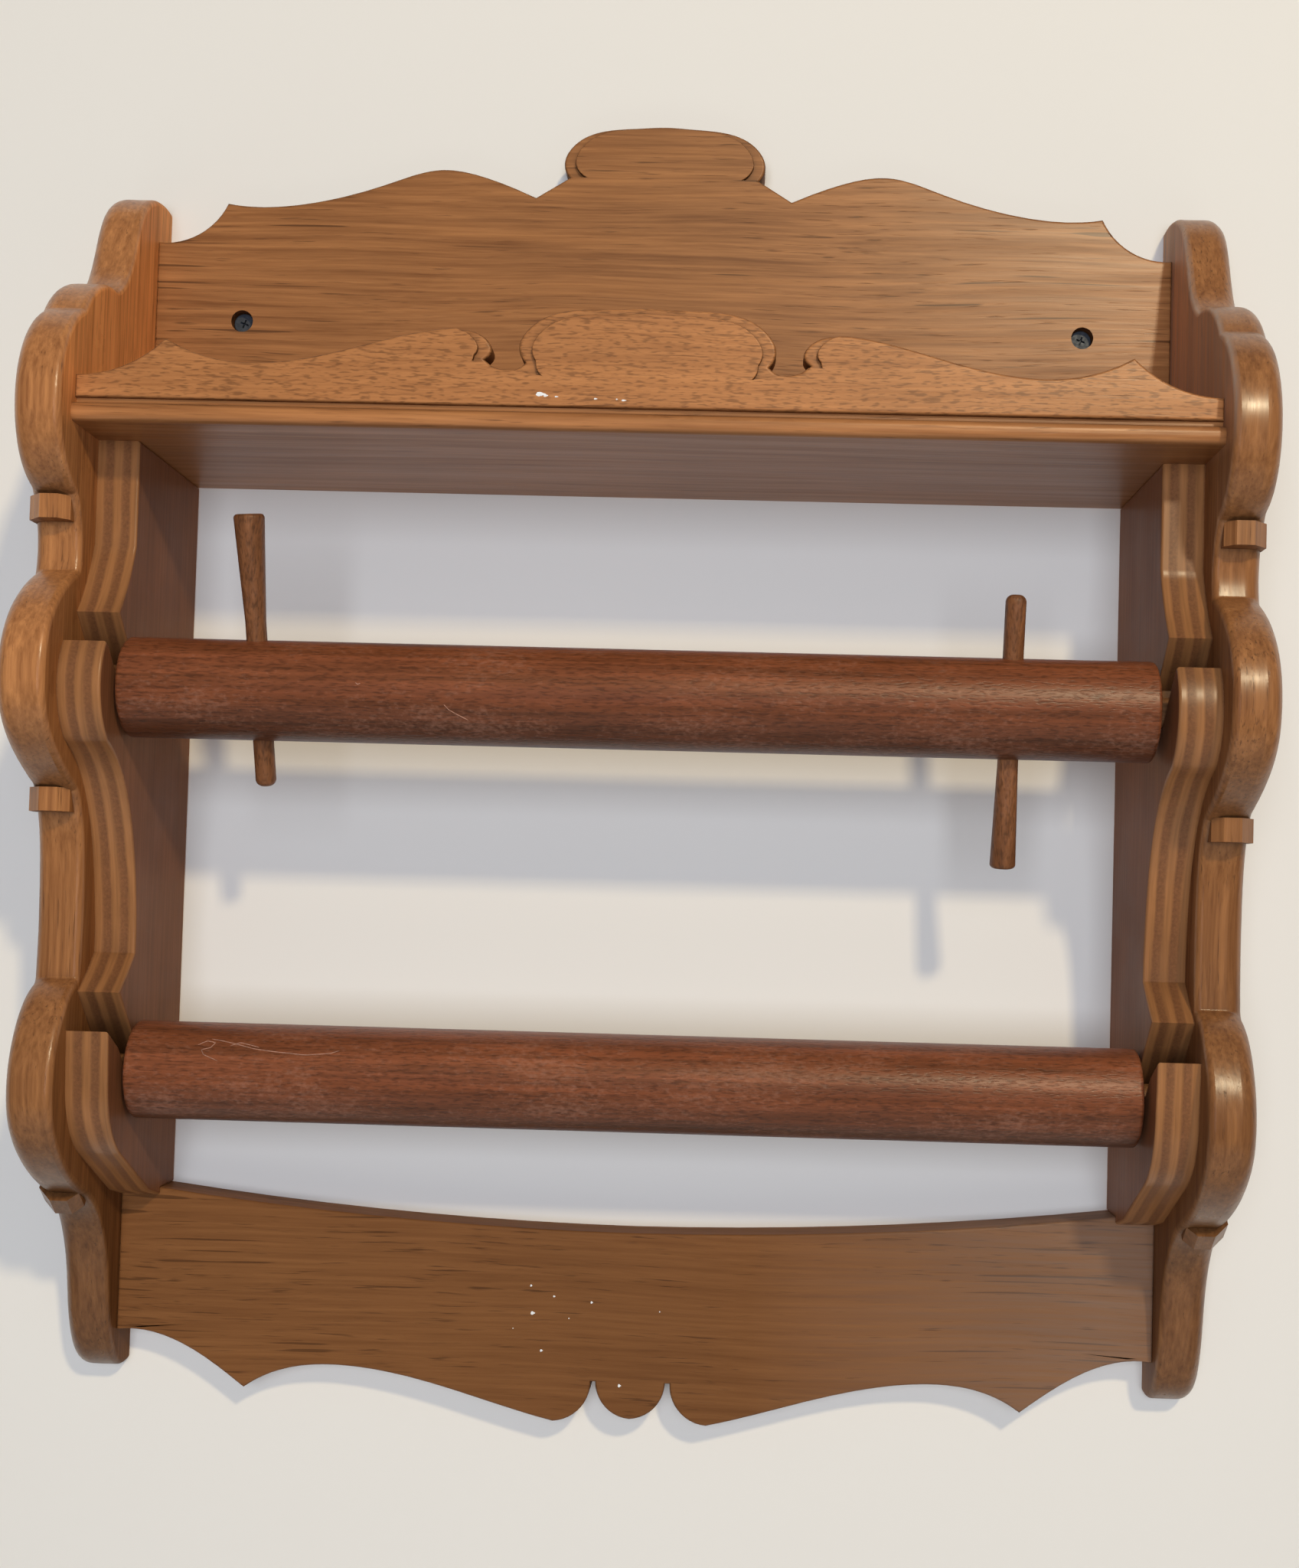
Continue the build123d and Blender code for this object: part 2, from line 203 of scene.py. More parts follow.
def grain_pattern(add, vector, stretch, detail, roughness=0.5):
    """A pattern of noise drawn out along the grain: its spots are about 1 / stretch metres long and wide."""
    drawn_out = add("Mapping", {"Vector": vector, "Scale": stretch})
    return add("TexNoise", {"Vector": drawn_out, "Scale": 1.0, "Detail": detail, "Roughness": roughness})


def mottled(add, base, scale, detail, low, high, darker, lighter):
    """A colour that fine noise breaks up between two shades, and that noise."""
    place = add("TexCoord")
    noise = add("TexNoise", {"Vector": place.outputs["Object"], "Scale": scale, "Detail": detail})
    shade = add("MapRange", {"Value": noise, "From Min": low, "From Max": high, "To Min": darker,
        "To Max": lighter})
    return add("VectorMath", {0: base[:3], 1: shade}, operation="MULTIPLY"), noise


def stained_oak(name, turn, heart, tone, grain=0.8, roughness=0.36, edge_tone=0.62, edge_gloss=0.15,
                edge_span=(0.55, 0.97), gloss_level=0.5, edge_rough=0.25, coat=0.0, cracks=0.0, flecks=0.0,
                foot_tone=1.0, head_painted_light=None, inward=(1.0, 0.0, 0.0), painted_underside_shade=1.0, end_painted_sheen=0.0,
                head_painted_sheen=0.0):
    """Oak, stained golden brown and brush-varnished.

    The stain lies darker in the soft early wood of each growth ring and darkest in the open pores,
    which are thin dashes along the grain. Surfaces turned away from the front are darker where asked:
    partly the deeper stain that sawn edges soak up, partly painted shade, as on the shelf's underside.
    The varnish fills most pores, so they only dent it a little, and it gives a soft gloss on the faces;
    the sawn edges soak it up and stay duller. Painted shade darkens the creases and the undersides,
    the colour grows darker towards the bottom, and painted light and a painted sheen lighten the
    inward sides above the shelf; a painted sheen also pales one end of a board.
    """
    material, add = new_material(name)
    place = add("TexCoord")
    along = add("Mapping", {"Vector": place.outputs["Object"], "Rotation": turn, "Location": heart})
    # Long slow waves bend the grain, some 20 cm along the board
    wobble = grain_pattern(add, along, (4, 9, 9), 2.0)
    bent = add("VectorMath", {0: wobble.outputs["Color"], 1: (0.0, 0.014, 0.014), 2: along},
        operation="MULTIPLY_ADD")
    rings = add("TexWave", {"Vector": bent, "Scale": 0.314 / size("oak_ring"), "Distortion": 1.5, "Detail": 2.0,
        "Detail Scale": 1.5, "Detail Roughness": 0.6}, wave_type="RINGS", rings_direction="X",
        wave_profile="SAW")
    # Fibres, about 0.8 mm wide and 60 mm long
    fibres = grain_pattern(add, bent, (16, 620, 620), 4.0, 0.62)
    # Streaks of stain, about 6 mm wide and 200 mm long
    streaks = grain_pattern(add, bent, (5, 160, 160), 3.0, 0.55)
    # Pores, about 0.4 mm wide and 20 mm long, drawn a little coarser so that they show
    pores = grain_pattern(add, bent, (42, 1000, 1000), 2.0, 0.6)
    # Patches some 5 cm across where the pores lie open, and others where they are filled
    patches = grain_pattern(add, along, (9, 22, 22), 2.0)
    clouds = add("TexNoise", {"Vector": along, "Scale": 9.0, "Detail": 3.0, "Roughness": 0.55})
    # How much ring, fibre and streak darken the wood, added up
    ring_part = add("Math", {0: rings.outputs["Fac"], 1: 0.09, 2: -0.2}, operation="MULTIPLY_ADD")
    fibre_part = add("Math", {0: fibres, 1: 1.1, 2: ring_part}, operation="MULTIPLY_ADD")
    streak_part = add("Math", {0: streaks, 1: 0.7, 2: fibre_part}, operation="MULTIPLY_ADD")
    shade = add("MapRange", {"Value": streak_part, "From Min": 0.45, "From Max": 1.05,
        "To Min": 0.5 - 0.5 * grain, "To Max": 0.5 + 0.5 * grain})
    wood = add("Mix", {0: shade, 6: colour("oak"), 7: colour("oak_ring")}, data_type="RGBA")
    pore_field = add("Math", {0: patches, 1: 0.24, 2: pores}, operation="MULTIPLY_ADD")
    pore_mask = add("MapRange", {"Value": pore_field, "From Min": 0.745, "From Max": 0.86})
    dark_share = add("Math", {0: pore_mask, 1: 0.6}, operation="MULTIPLY")
    # Seasoning cracks near the ends of a board, about 0.5 mm wide and 50 mm long
    crack_noise = grain_pattern(add, bent, (11, 560, 560), 1.0, 0.4)
    from_middle = add("VectorMath", {0: place.outputs["Object"], 1: (1.0, 0.0, 0.0)}, operation="MULTIPLY")
    distance = add("VectorMath", {0: from_middle}, operation="LENGTH")
    end_share = add("MapRange", {"Value": distance.outputs["Value"], "From Min": 0.04, "From Max": 0.19,
        "To Min": 0.0, "To Max": 0.13})
    crack_field = add("Math", {0: crack_noise, 1: end_share}, operation="ADD")
    crack_mask = add("MapRange", {"Value": crack_field, "From Min": 0.77, "From Max": 0.81,
        "To Max": 0.7 * cracks})
    # Flecks of a quarter-sawn face, 0.7 mm wide and 4 mm long
    fleck_noise = grain_pattern(add, bent, (230, 1250, 1250), 1.0)
    fleck_mask = add("MapRange", {"Value": fleck_noise, "From Min": 0.52, "From Max": 0.66,
        "To Max": 0.5 * flecks})
    dark_marks = add("Math", {0: dark_share, 1: fleck_mask}, operation="MAXIMUM")
    darkest = add("Math", {0: dark_marks, 1: crack_mask}, operation="MAXIMUM")
    dotted = add("Mix", {0: darkest, 6: wood.outputs[2], 7: colour("oak_pore")}, data_type="RGBA")
    # Uneven stain, a few percent lighter and darker over the board
    cloud_shade = add("MapRange", {"Value": clouds, "From Min": 0.3, "From Max": 0.7, "To Min": 0.9 * tone,
        "To Max": 1.08 * tone})
    stained = add("VectorMath", {0: dotted.outputs[2], 1: cloud_shade}, operation="MULTIPLY")
    # Painted light: above the shelf, the inward sides of the upright boards are painted lighter
    height = add("SeparateXYZ", {0: place.outputs["Object"]})
    inwards = add("VectorMath", {0: place.outputs["Normal"], 1: inward}, operation="DOT_PRODUCT")
    above = add("MapRange", {"Value": height.outputs["Z"], "From Min": -0.075, "From Max": -0.05})
    painted_light_share = add("Math", {0: inwards.outputs["Value"], 1: above}, operation="MULTIPLY", use_clamp=True)
    side_tone = add("MapRange", {"Value": painted_light_share, "To Min": edge_tone, "To Max": head_painted_light or edge_tone})
    # Shade, gloss, roughness and coat change at the sawn edges, where the surface turns away from the front;
    # the darker shade there is partly deeper stain and partly painted shade
    facing = add("VectorMath", {0: place.outputs["Normal"], 1: (0.0, -1.0, 0.0)}, operation="DOT_PRODUCT")
    edge, gloss, dullness, glaze = (
        add("MapRange", {"Value": facing.outputs["Value"], "From Min": edge_span[0], "From Max": edge_span[1],
            "To Min": on_edge, "To Max": on_face})
        for on_edge, on_face in (
            (side_tone, 1.0), (edge_gloss, gloss_level), (edge_rough, 0.0), (0.0, coat)))
    # Painted shade in the creases, within 5 mm of another surface of the piece
    crease = add("AmbientOcclusion", {"Distance": 0.005}, samples=8, only_local=True)
    crease_shade = add("MapRange", {"Value": crease.outputs["AO"], "From Min": 0.45, "From Max": 0.95,
        "To Min": 0.55, "To Max": 1.0})
    # The colour grows darker towards the bottom of the rack
    foot = add("MapRange", {"Value": height.outputs["Z"], "From Min": -0.42, "From Max": -0.16,
        "To Min": foot_tone, "To Max": 1.0})
    edge_and_crease = add("Math", {0: edge, 1: crease_shade}, operation="MULTIPLY")
    # Painted shade: surfaces that face down are darker
    upward = add("SeparateXYZ", {0: place.outputs["Normal"]})
    underside_shade = add("MapRange", {"Value": upward.outputs["Z"], "From Min": -0.9, "From Max": -0.1,
        "To Min": painted_underside_shade, "To Max": 1.0})
    foot_and_under = add("Math", {0: foot, 1: underside_shade}, operation="MULTIPLY")
    all_shades = add("Math", {0: edge_and_crease, 1: foot_and_under}, operation="MULTIPLY")
    shaded = add("VectorMath", {0: stained, 1: all_shades}, operation="MULTIPLY")
    # A painted sheen, a pale haze of reflected light, at one end of the board and on its inward side above the
    # shelf
    end_haze = add("MapRange", {"Value": height.outputs["X"], "From Min": 0.05, "From Max": 0.2, "To Min": 0.0,
        "To Max": end_painted_sheen})
    haze = add("Math", {0: painted_light_share, 1: head_painted_sheen, 2: end_haze}, operation="MULTIPLY_ADD")
    uneven_haze = add("Math", {0: haze, 1: fibres}, operation="MULTIPLY")
    finish = add("Mix", {0: uneven_haze, 6: shaded, 7: colour("painted_sheen")}, data_type="RGBA")
    # The varnish lies a tenth of a millimetre lower in the pores and follows the fibres faintly
    relief = add("Math", {0: pore_mask, 1: -0.6, 2: fibres}, operation="MULTIPLY_ADD")
    bump = add("Bump", {"Height": relief, "Distance": 0.0002, "Strength": 0.3})
    sheen = add("MapRange", {"Value": streaks, "From Min": 0.3, "From Max": 0.7, "To Min": roughness - 0.04,
        "To Max": roughness + 0.07})
    rough = add("Math", {0: sheen, 1: dullness}, operation="ADD")
    surface = add("BsdfPrincipled", {"Base Color": finish.outputs[2], "Roughness": rough, "Normal": bump,
        "IOR": 1.45, "Specular IOR Level": gloss, "Coat Weight": glaze, "Coat Roughness": 0.2})
    add("OutputMaterial", {"Surface": surface})
    return material


def varnished_plywood(name):
    """Hardwood plywood under the same stain and varnish.

    Along its edges, plies whose grain runs with the edge stay light with fine lines, and the cross
    plies between them show end grain, which drinks the stain and turns dark and dull. Its flat faces
    are one plain brown veneer with an upright grain.
    """
    material, add = new_material(name)
    place = add("TexCoord")
    # The glue lines wander by a few tenths of a millimetre
    waver = add("TexNoise", {"Vector": place.outputs["Object"], "Scale": 30.0, "Detail": 3.0})
    split = add("SeparateXYZ", {0: place.outputs["Object"]})
    across = add("Math", {0: split.outputs["X"]}, operation="ABSOLUTE")
    wavered = add("Math", {0: waver, 1: 0.0022, 2: across}, operation="MULTIPLY_ADD")
    plies = add("Math", {0: wavered, 1: BRACKET_FACE + 0.0011}, operation="SUBTRACT")
    count = add("Math", {0: plies, 1: 0.5 / size("ply")}, operation="MULTIPLY")
    phase = add("Math", {0: count}, operation="FRACT")
    # 0 in a long ply, 1 in a cross ply, with soft stain at the glue lines
    cross = add("ValToRGB", {0: phase}, stops=[(0.0, 0.5), (0.08, 0.1), (0.40, 0.0), (0.56, 1.0), (0.9, 0.85),
        (1.0, 0.55)])
    # Fibres of the long plies, 1 mm wide and 40 mm long
    lines = grain_pattern(add, place.outputs["Object"], (700, 28, 28), 3.0, 0.6)
    # End grain specks of the cross plies, about 1 mm
    specks = add("TexNoise", {"Vector": place.outputs["Object"], "Scale": 900.0, "Detail": 2.0,
        "Roughness": 0.7})
    clouds = add("TexNoise", {"Vector": place.outputs["Object"], "Scale": 26.0, "Detail": 3.0})
    long_shade = add("MapRange", {"Value": lines, "From Min": 0.3, "From Max": 0.7, "To Min": 0.78,
        "To Max": 1.15})
    long_wood = add("VectorMath", {0: colour("ply_long")[:3], 1: long_shade}, operation="MULTIPLY")
    cross_shade = add("MapRange", {"Value": specks, "From Min": 0.3, "From Max": 0.7, "To Min": 0.78,
        "To Max": 1.2})
    cross_wood = add("VectorMath", {0: colour("ply_cross")[:3], 1: cross_shade}, operation="MULTIPLY")
    striped = add("Mix", {0: cross, 6: long_wood, 7: cross_wood}, data_type="RGBA")
    # The veneer of the faces, with grain lines 1.5 mm wide and 80 mm long
    grain = grain_pattern(add, place.outputs["Object"], (500, 500, 12), 4.0, 0.6)
    face_shade = add("MapRange", {"Value": grain, "From Min": 0.3, "From Max": 0.7, "To Min": 0.8,
        "To Max": 1.12})
    veneer = add("VectorMath", {0: colour("ply_face")[:3], 1: face_shade}, operation="MULTIPLY")
    turned = add("SeparateXYZ", {0: place.outputs["Normal"]})
    sideways = add("Math", {0: turned.outputs["X"]}, operation="ABSOLUTE")
    on_face = add("MapRange", {"Value": sideways, "From Min": 0.85, "From Max": 0.98})
    covered = add("Mix", {0: on_face, 6: striped.outputs[2], 7: veneer}, data_type="RGBA")
    cloud_shade = add("MapRange", {"Value": clouds, "From Min": 0.3, "From Max": 0.7, "To Min": 0.85,
        "To Max": 1.1})
    # Painted shade in the slots and creases, within 30 mm of another surface of the piece
    crease = add("AmbientOcclusion", {"Distance": 0.03}, samples=8, only_local=True)
    crease_shade = add("MapRange", {"Value": crease.outputs["AO"], "From Min": 0.35, "From Max": 0.95,
        "To Min": 0.25, "To Max": 1.0})
    both_shades = add("Math", {0: cloud_shade, 1: crease_shade}, operation="MULTIPLY")
    finish = add("VectorMath", {0: covered.outputs[2], 1: both_shades}, operation="MULTIPLY")
    sunk = add("Math", {0: cross, 1: -0.6, 2: lines}, operation="MULTIPLY_ADD")
    bump = add("Bump", {"Height": sunk, "Distance": 0.0002, "Strength": 0.3})
    sheen = add("MapRange", {"Value": cross, "To Min": 0.32, "To Max": 0.44})
    # The flat faces were only wiped with varnish, so they stay dull
    gloss = add("MapRange", {"Value": on_face, "To Min": 0.5, "To Max": 0.04})
    surface = add("BsdfPrincipled", {"Base Color": finish, "Roughness": sheen, "Normal": bump, "IOR": 1.45,
        "Specular IOR Level": gloss})
    add("OutputMaterial", {"Surface": surface})
    return material


def stained_hardwood(name, turn, base, streak, roughness, scuffs=0.0, painted_underside_shade=1.0):
    """A close-grained hardwood, turned and stained red-brown, with a worn satin finish.

    Turning leaves the grain in long fine streaks, the pores are short thin dashes, and handling has
    left pale scuffs where the finish is rubbed. Painted shade darkens the undersides where asked.
    """
    material, add = new_material(name)
    place = add("TexCoord")
    along = add("Mapping", {"Vector": place.outputs["Object"], "Rotation": turn})
    # Streaks, 2 mm wide and 120 mm long
    streaks = grain_pattern(add, along, (8, 450, 450), 5.0, 0.6)
    # Pores, 0.5 mm wide and 3 mm long, drawn a little coarser than they are so that they show
    pores = grain_pattern(add, along, (260, 1300, 1300), 1.0)
    # Rubbed patches, a few centimetres across
    rubs = grain_pattern(add, along, (14, 40, 40), 6.0, 0.7)
    shade = add("MapRange", {"Value": streaks, "From Min": 0.36, "From Max": 0.68})
    wood = add("Mix", {0: shade, 6: base, 7: streak}, data_type="RGBA")
    pore_mask = add("MapRange", {"Value": pores, "From Min": 0.48, "From Max": 0.68, "To Min": 1.0,
        "To Max": 0.62})
    rub_shade = add("MapRange", {"Value": rubs, "From Min": 0.35, "From Max": 0.75, "To Min": 0.88,
        "To Max": 1.3})
    marks = add("Math", {0: pore_mask, 1: rub_shade}, operation="MULTIPLY")
    # Painted shade: the side that faces down is darker
    upward = add("SeparateXYZ", {0: place.outputs["Normal"]})
    underside_shade = add("MapRange", {"Value": upward.outputs["Z"], "From Min": -0.9, "From Max": 0.15,
        "To Min": painted_underside_shade, "To Max": 1.0})
    marks_and_painted_shade = add("Math", {0: marks, 1: underside_shade}, operation="MULTIPLY")
    worn = add("VectorMath", {0: wood.outputs[2], 1: marks_and_painted_shade}, operation="MULTIPLY")
    # In the rubbed patches the finish is broken into pale flecks, 1 to 2 mm across
    flecks = grain_pattern(add, along, (420, 700, 700), 2.0, 0.6)
    fleck_field = add("Math", {0: rubs, 1: 1.3, 2: flecks}, operation="MULTIPLY_ADD")
    fleck_mask = add("MapRange", {"Value": fleck_field, "From Min": 1.18, "From Max": 1.5, "To Max": scuffs})
    finish = add("Mix", {0: fleck_mask, 6: worn, 7: colour("scuff")}, data_type="RGBA")
    bump = add("Bump", {"Height": pore_mask, "Distance": 0.0003, "Strength": 0.5})
    sheen = add("MapRange", {"Value": rubs, "From Min": 0.3, "From Max": 0.75, "To Min": roughness - 0.03,
        "To Max": roughness + 0.12})
    surface = add("BsdfPrincipled", {"Base Color": finish.outputs[2], "Roughness": sheen, "Normal": bump,
        "IOR": 1.45})
    add("OutputMaterial", {"Surface": surface})
    return material


def blackened_steel(name):
    """Steel screws with a black phosphate coat, worn to bare metal in places, so part dull, part bright."""
    material, add = new_material(name)
    coat, wear = mottled(add, colour("screw"), 700.0, 3.0, 0.35, 0.7, 0.8, 1.2)
    dull = add("MapRange", {"Value": wear, "From Min": 0.35, "From Max": 0.7, "To Min": 0.6, "To Max": 0.48})
    surface = add("BsdfPrincipled", {"Base Color": coat, "Roughness": dull, "Metallic": 0.45})
    add("OutputMaterial", {"Surface": surface})
    return material


def dry_paint(name):
    """Dried emulsion paint: chalky white, quite rough, with a faint mottling."""
    material, add = new_material(name)
    chalk, mottle = mottled(add, colour("paint"), 1500.0, 2.0, 0.0, 1.0, 0.9, 1.05)
    surface = add("BsdfPrincipled", {"Base Color": chalk, "Roughness": 0.7})
    add("OutputMaterial", {"Surface": surface})
    return material


def worn_scratch(name):
    """Bare wood in a scratch: pale, dry and rough, with grain that breaks its colour up."""
    material, add = new_material(name)
    wood, grain = mottled(add, colour("scratch"), 600.0, 2.0, 0.35, 0.65, 0.7, 1.15)
    surface = add("BsdfPrincipled", {"Base Color": wood, "Roughness": 0.7})
    add("OutputMaterial", {"Surface": surface})
    return material


def painted_wall(name):
    """Plain matt wall paint. The wall shows only from in front, so that the back of the rack can be seen."""
    material, add = new_material(name)
    ray = add("LightPath")
    side = add("NewGeometry")
    front = add("Math", {0: 1.0, 1: side.outputs["Backfacing"]}, operation="SUBTRACT")
    looked_at = add("Math", {0: ray.outputs["Is Camera Ray"], 1: ray.outputs["Is Glossy Ray"]},
        operation="MAXIMUM")
    shown = add("Math", {0: looked_at, 1: front}, operation="MULTIPLY")
    clear = add("BsdfTransparent")
    paint = add("BsdfDiffuse", {"Color": colour("wall")})
    mixed = add("MixShader", {0: shown, 1: clear, 2: paint})
    add("OutputMaterial", {"Surface": mixed})
    return material


def pale_floor(name):
    """Plain matt floor. It looks pale to the camera also where no lamp reaches it, and keeps its shadows."""
    material, add = new_material(name)
    ray = add("LightPath")
    share = add("Math", {0: ray.outputs["Is Camera Ray"], 1: 0.7}, operation="MULTIPLY")
    paint = add("BsdfDiffuse", {"Color": colour("floor")})
    pale = add("Emission", {"Color": colour("floor"), "Strength": 1.0})
    mixed = add("MixShader", {0: share, 1: paint, 2: pale})
    add("OutputMaterial", {"Surface": mixed})
    return material


def select_only(piece):
    """Select one object and make it the active one."""
    bpy.ops.object.select_all(action="DESELECT")
    piece.select_set(True)
    bpy.context.view_layer.objects.active = piece


def start_editing(piece):
    """Open one object in edit mode with all of it selected."""
    select_only(piece)
    bpy.ops.object.mode_set(mode="EDIT")
    bpy.ops.mesh.select_mode(type="VERT")
    bpy.ops.mesh.select_all(action="SELECT")


def stop_editing():
    """Go back to object mode."""
    bpy.ops.object.mode_set(mode="OBJECT")


def pick(piece, wanted, kind="VERT"):
    """Select the vertices, by their place, or the faces that pass a test, and stay in edit mode."""
    bpy.ops.mesh.select_mode(type=kind)
    bpy.ops.mesh.select_all(action="DESELECT")
    bpy.ops.object.mode_set(mode="OBJECT")
    if kind == "VERT":
        for vertex in piece.data.vertices:
            vertex.select = wanted(vertex.co)
    else:
        for face in piece.data.polygons:
            face.select = wanted(face)
    bpy.ops.object.mode_set(mode="EDIT")


def apply_modifier(piece, kind, **settings):
    """Add a modifier, set it and apply it."""
    select_only(piece)
    modifier = piece.modifiers.new(kind.title(), kind)
    for name, value in settings.items():
        setattr(modifier, name, value)
    bpy.ops.object.modifier_apply(modifier=modifier.name)


def smooth(piece, degrees=35):
    """Merge what lies together, then shade smooth across soft edges, with flat faces kept flat."""
    start_editing(piece)
    bpy.ops.mesh.remove_doubles(threshold=MERGE)
    stop_editing()
    bpy.ops.object.shade_smooth_by_angle(angle=math.radians(degrees))
    apply_modifier(piece, "WEIGHTED_NORMAL", keep_sharp=True)


def finish_piece(piece, material, body, replaced=()):
    """Give a piece its material, its body and the nodes that it stands for."""
    piece.data.materials.clear()
    piece.data.materials.append(material)
    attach(piece, body)
    if replaced:
        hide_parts(*replaced)


def dress_node(node, material):
    """Give a frame node a better material."""
    thing = frame["nodes"][node]
    if not thing.material_slots:
        thing.data.materials.append(material)
    for index in range(len(thing.material_slots)):
        thing.material_slots[index].material = material


def outline_face(node, name, place, normal):
    """The outline of a frame node where a plane cuts it, as one flat face without its holes."""
    piece = bpy.data.objects.new(name, frame["nodes"][node].data.copy())
    bpy.context.scene.collection.objects.link(piece)
    start_editing(piece)
    bpy.ops.mesh.customdata_custom_splitnormals_clear()
    bpy.ops.mesh.remove_doubles(threshold=FRAME_MERGE)
    bpy.ops.mesh.select_all(action="SELECT")
    bpy.ops.mesh.bisect(plane_co=place, plane_no=normal, clear_inner=True, clear_outer=True, threshold=ON_PLANE)
    bpy.ops.mesh.select_all(action="SELECT")
    bpy.ops.mesh.remove_doubles(threshold=CLOSE)
    stop_editing()
    highest = max(vertex.co.z for vertex in piece.data.vertices)
    start_editing(piece)
    pick(piece, lambda co: co.z > highest - CLOSE)
    bpy.ops.mesh.select_linked()
    bpy.ops.mesh.select_all(action="INVERT")
    bpy.ops.mesh.delete(type="VERT")
    bpy.ops.mesh.select_all(action="SELECT")
    bpy.ops.mesh.edge_face_add()
    bpy.ops.mesh.select_all(action="SELECT")
    bpy.ops.mesh.dissolve_limited(angle_limit=STRAIGHT)
    stop_editing()
    return piece


def face_towards(piece, normal, place):
    """Select the largest face that looks one way and lies at one place along it."""
    axis = Vector(normal)
    faces = [face for face in piece.data.polygons
             if face.normal.dot(axis) > 0.999 and abs(face.center.dot(axis) - place) < CLOSE]
    index = max(faces, key=lambda face: face.area).index
    pick(piece, lambda face: face.index == index, "FACE")


def round_over(radius, steps):
    """Round the edges of the selected face: each inset goes in and up along a quarter circle."""
    for step in range(steps):
        low = math.radians(90 * step / steps)
        high = math.radians(90 * (step + 1) / steps)
        bpy.ops.mesh.inset(
            thickness=radius * (math.cos(low) - math.cos(high)),
            depth=radius * (math.sin(high) - math.sin(low)),
            use_even_offset=True)


def ease_crest(piece, top):
    """Smooth the middle of a crest, where the two halves of the outline meet in a slight peak."""
    start_editing(piece)
    pick(piece, lambda co: abs(co.x) < 0.009 and co.z > top - 0.004)
    bpy.ops.mesh.vertices_smooth(factor=0.5, repeat=8)
    stop_editing()


def rounded_slab(piece, here, back, front, axis, radius):
    """Thicken a flat outline from one place to another along an axis, the edges of its far face rounded."""
    way = Vector(axis)
    sign = 1 if front > back else -1
    start_editing(piece)
    bpy.ops.transform.translate(value=way * (back - here))
    bpy.ops.mesh.extrude_region_move(TRANSFORM_OT_translate={"value": way * (front - sign * radius - back)})
    bpy.ops.mesh.select_all(action="SELECT")
    bpy.ops.mesh.normals_make_consistent(inside=False)
    stop_editing()
    start_editing(piece)
    face_towards(piece, way * sign, sign * (front - sign * radius))
    round_over(radius, 4)
    stop_editing()


def board_outline(node, name):
    """The outline of a board, the middle of its top edge smoothed, and the place along Y where it was read."""
    low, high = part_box(node)
    section = high.y - BOARD_SECTION
    piece = outline_face(node, name, (0, section, 0), (0, 1, 0))
    ease_crest(piece, high.z)
    return piece, section


def board(node, name, sunk=0.0):
    """A board with its outline from the frame and its front edges rounded, its front face sunk if asked."""
    low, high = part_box(node)
    piece, section = board_outline(node, name)
    rounded_slab(piece, section, high.y, low.y + sunk, (0, 1, 0), size("board_round"))
    return piece


def take_away(piece, tool):
    """Cut the tool out of a piece, and throw the tool away."""
    apply_modifier(piece, "BOOLEAN", operation="DIFFERENCE", object=tool, solver="EXACT")
    bpy.data.objects.remove(tool)


def rod(x, radius, front, back):
    """A cylinder that lies along Y, level with the wall screws."""
    bpy.ops.mesh.primitive_cylinder_add(vertices=48, radius=radius, depth=back - front,
                                        location=(x, (front + back) / 2, 0), rotation=(math.radians(90), 0, 0))
    bpy.ops.object.transform_apply()
    return bpy.context.object


def border_cutter(node, x_low, x_high, z_low):
    """A block that takes the front off a board, from one height to its top, as deep as a carved border."""
    low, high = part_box(node)
    ends = ((x_low, x_high), (low.y - OVERCUT, low.y + size("crest_step") + FLOOR_OVERCUT),
            (z_low, high.z + 2 * OVERCUT))
    bpy.ops.mesh.primitive_cube_add(size=1)
    piece = bpy.context.object
    start_editing(piece)
    bpy.ops.transform.resize(value=[end - start for start, end in ends], center_override=(0, 0, 0))
    bpy.ops.transform.translate(value=[(start + end) / 2 for start, end in ends])
    stop_editing()
    return piece


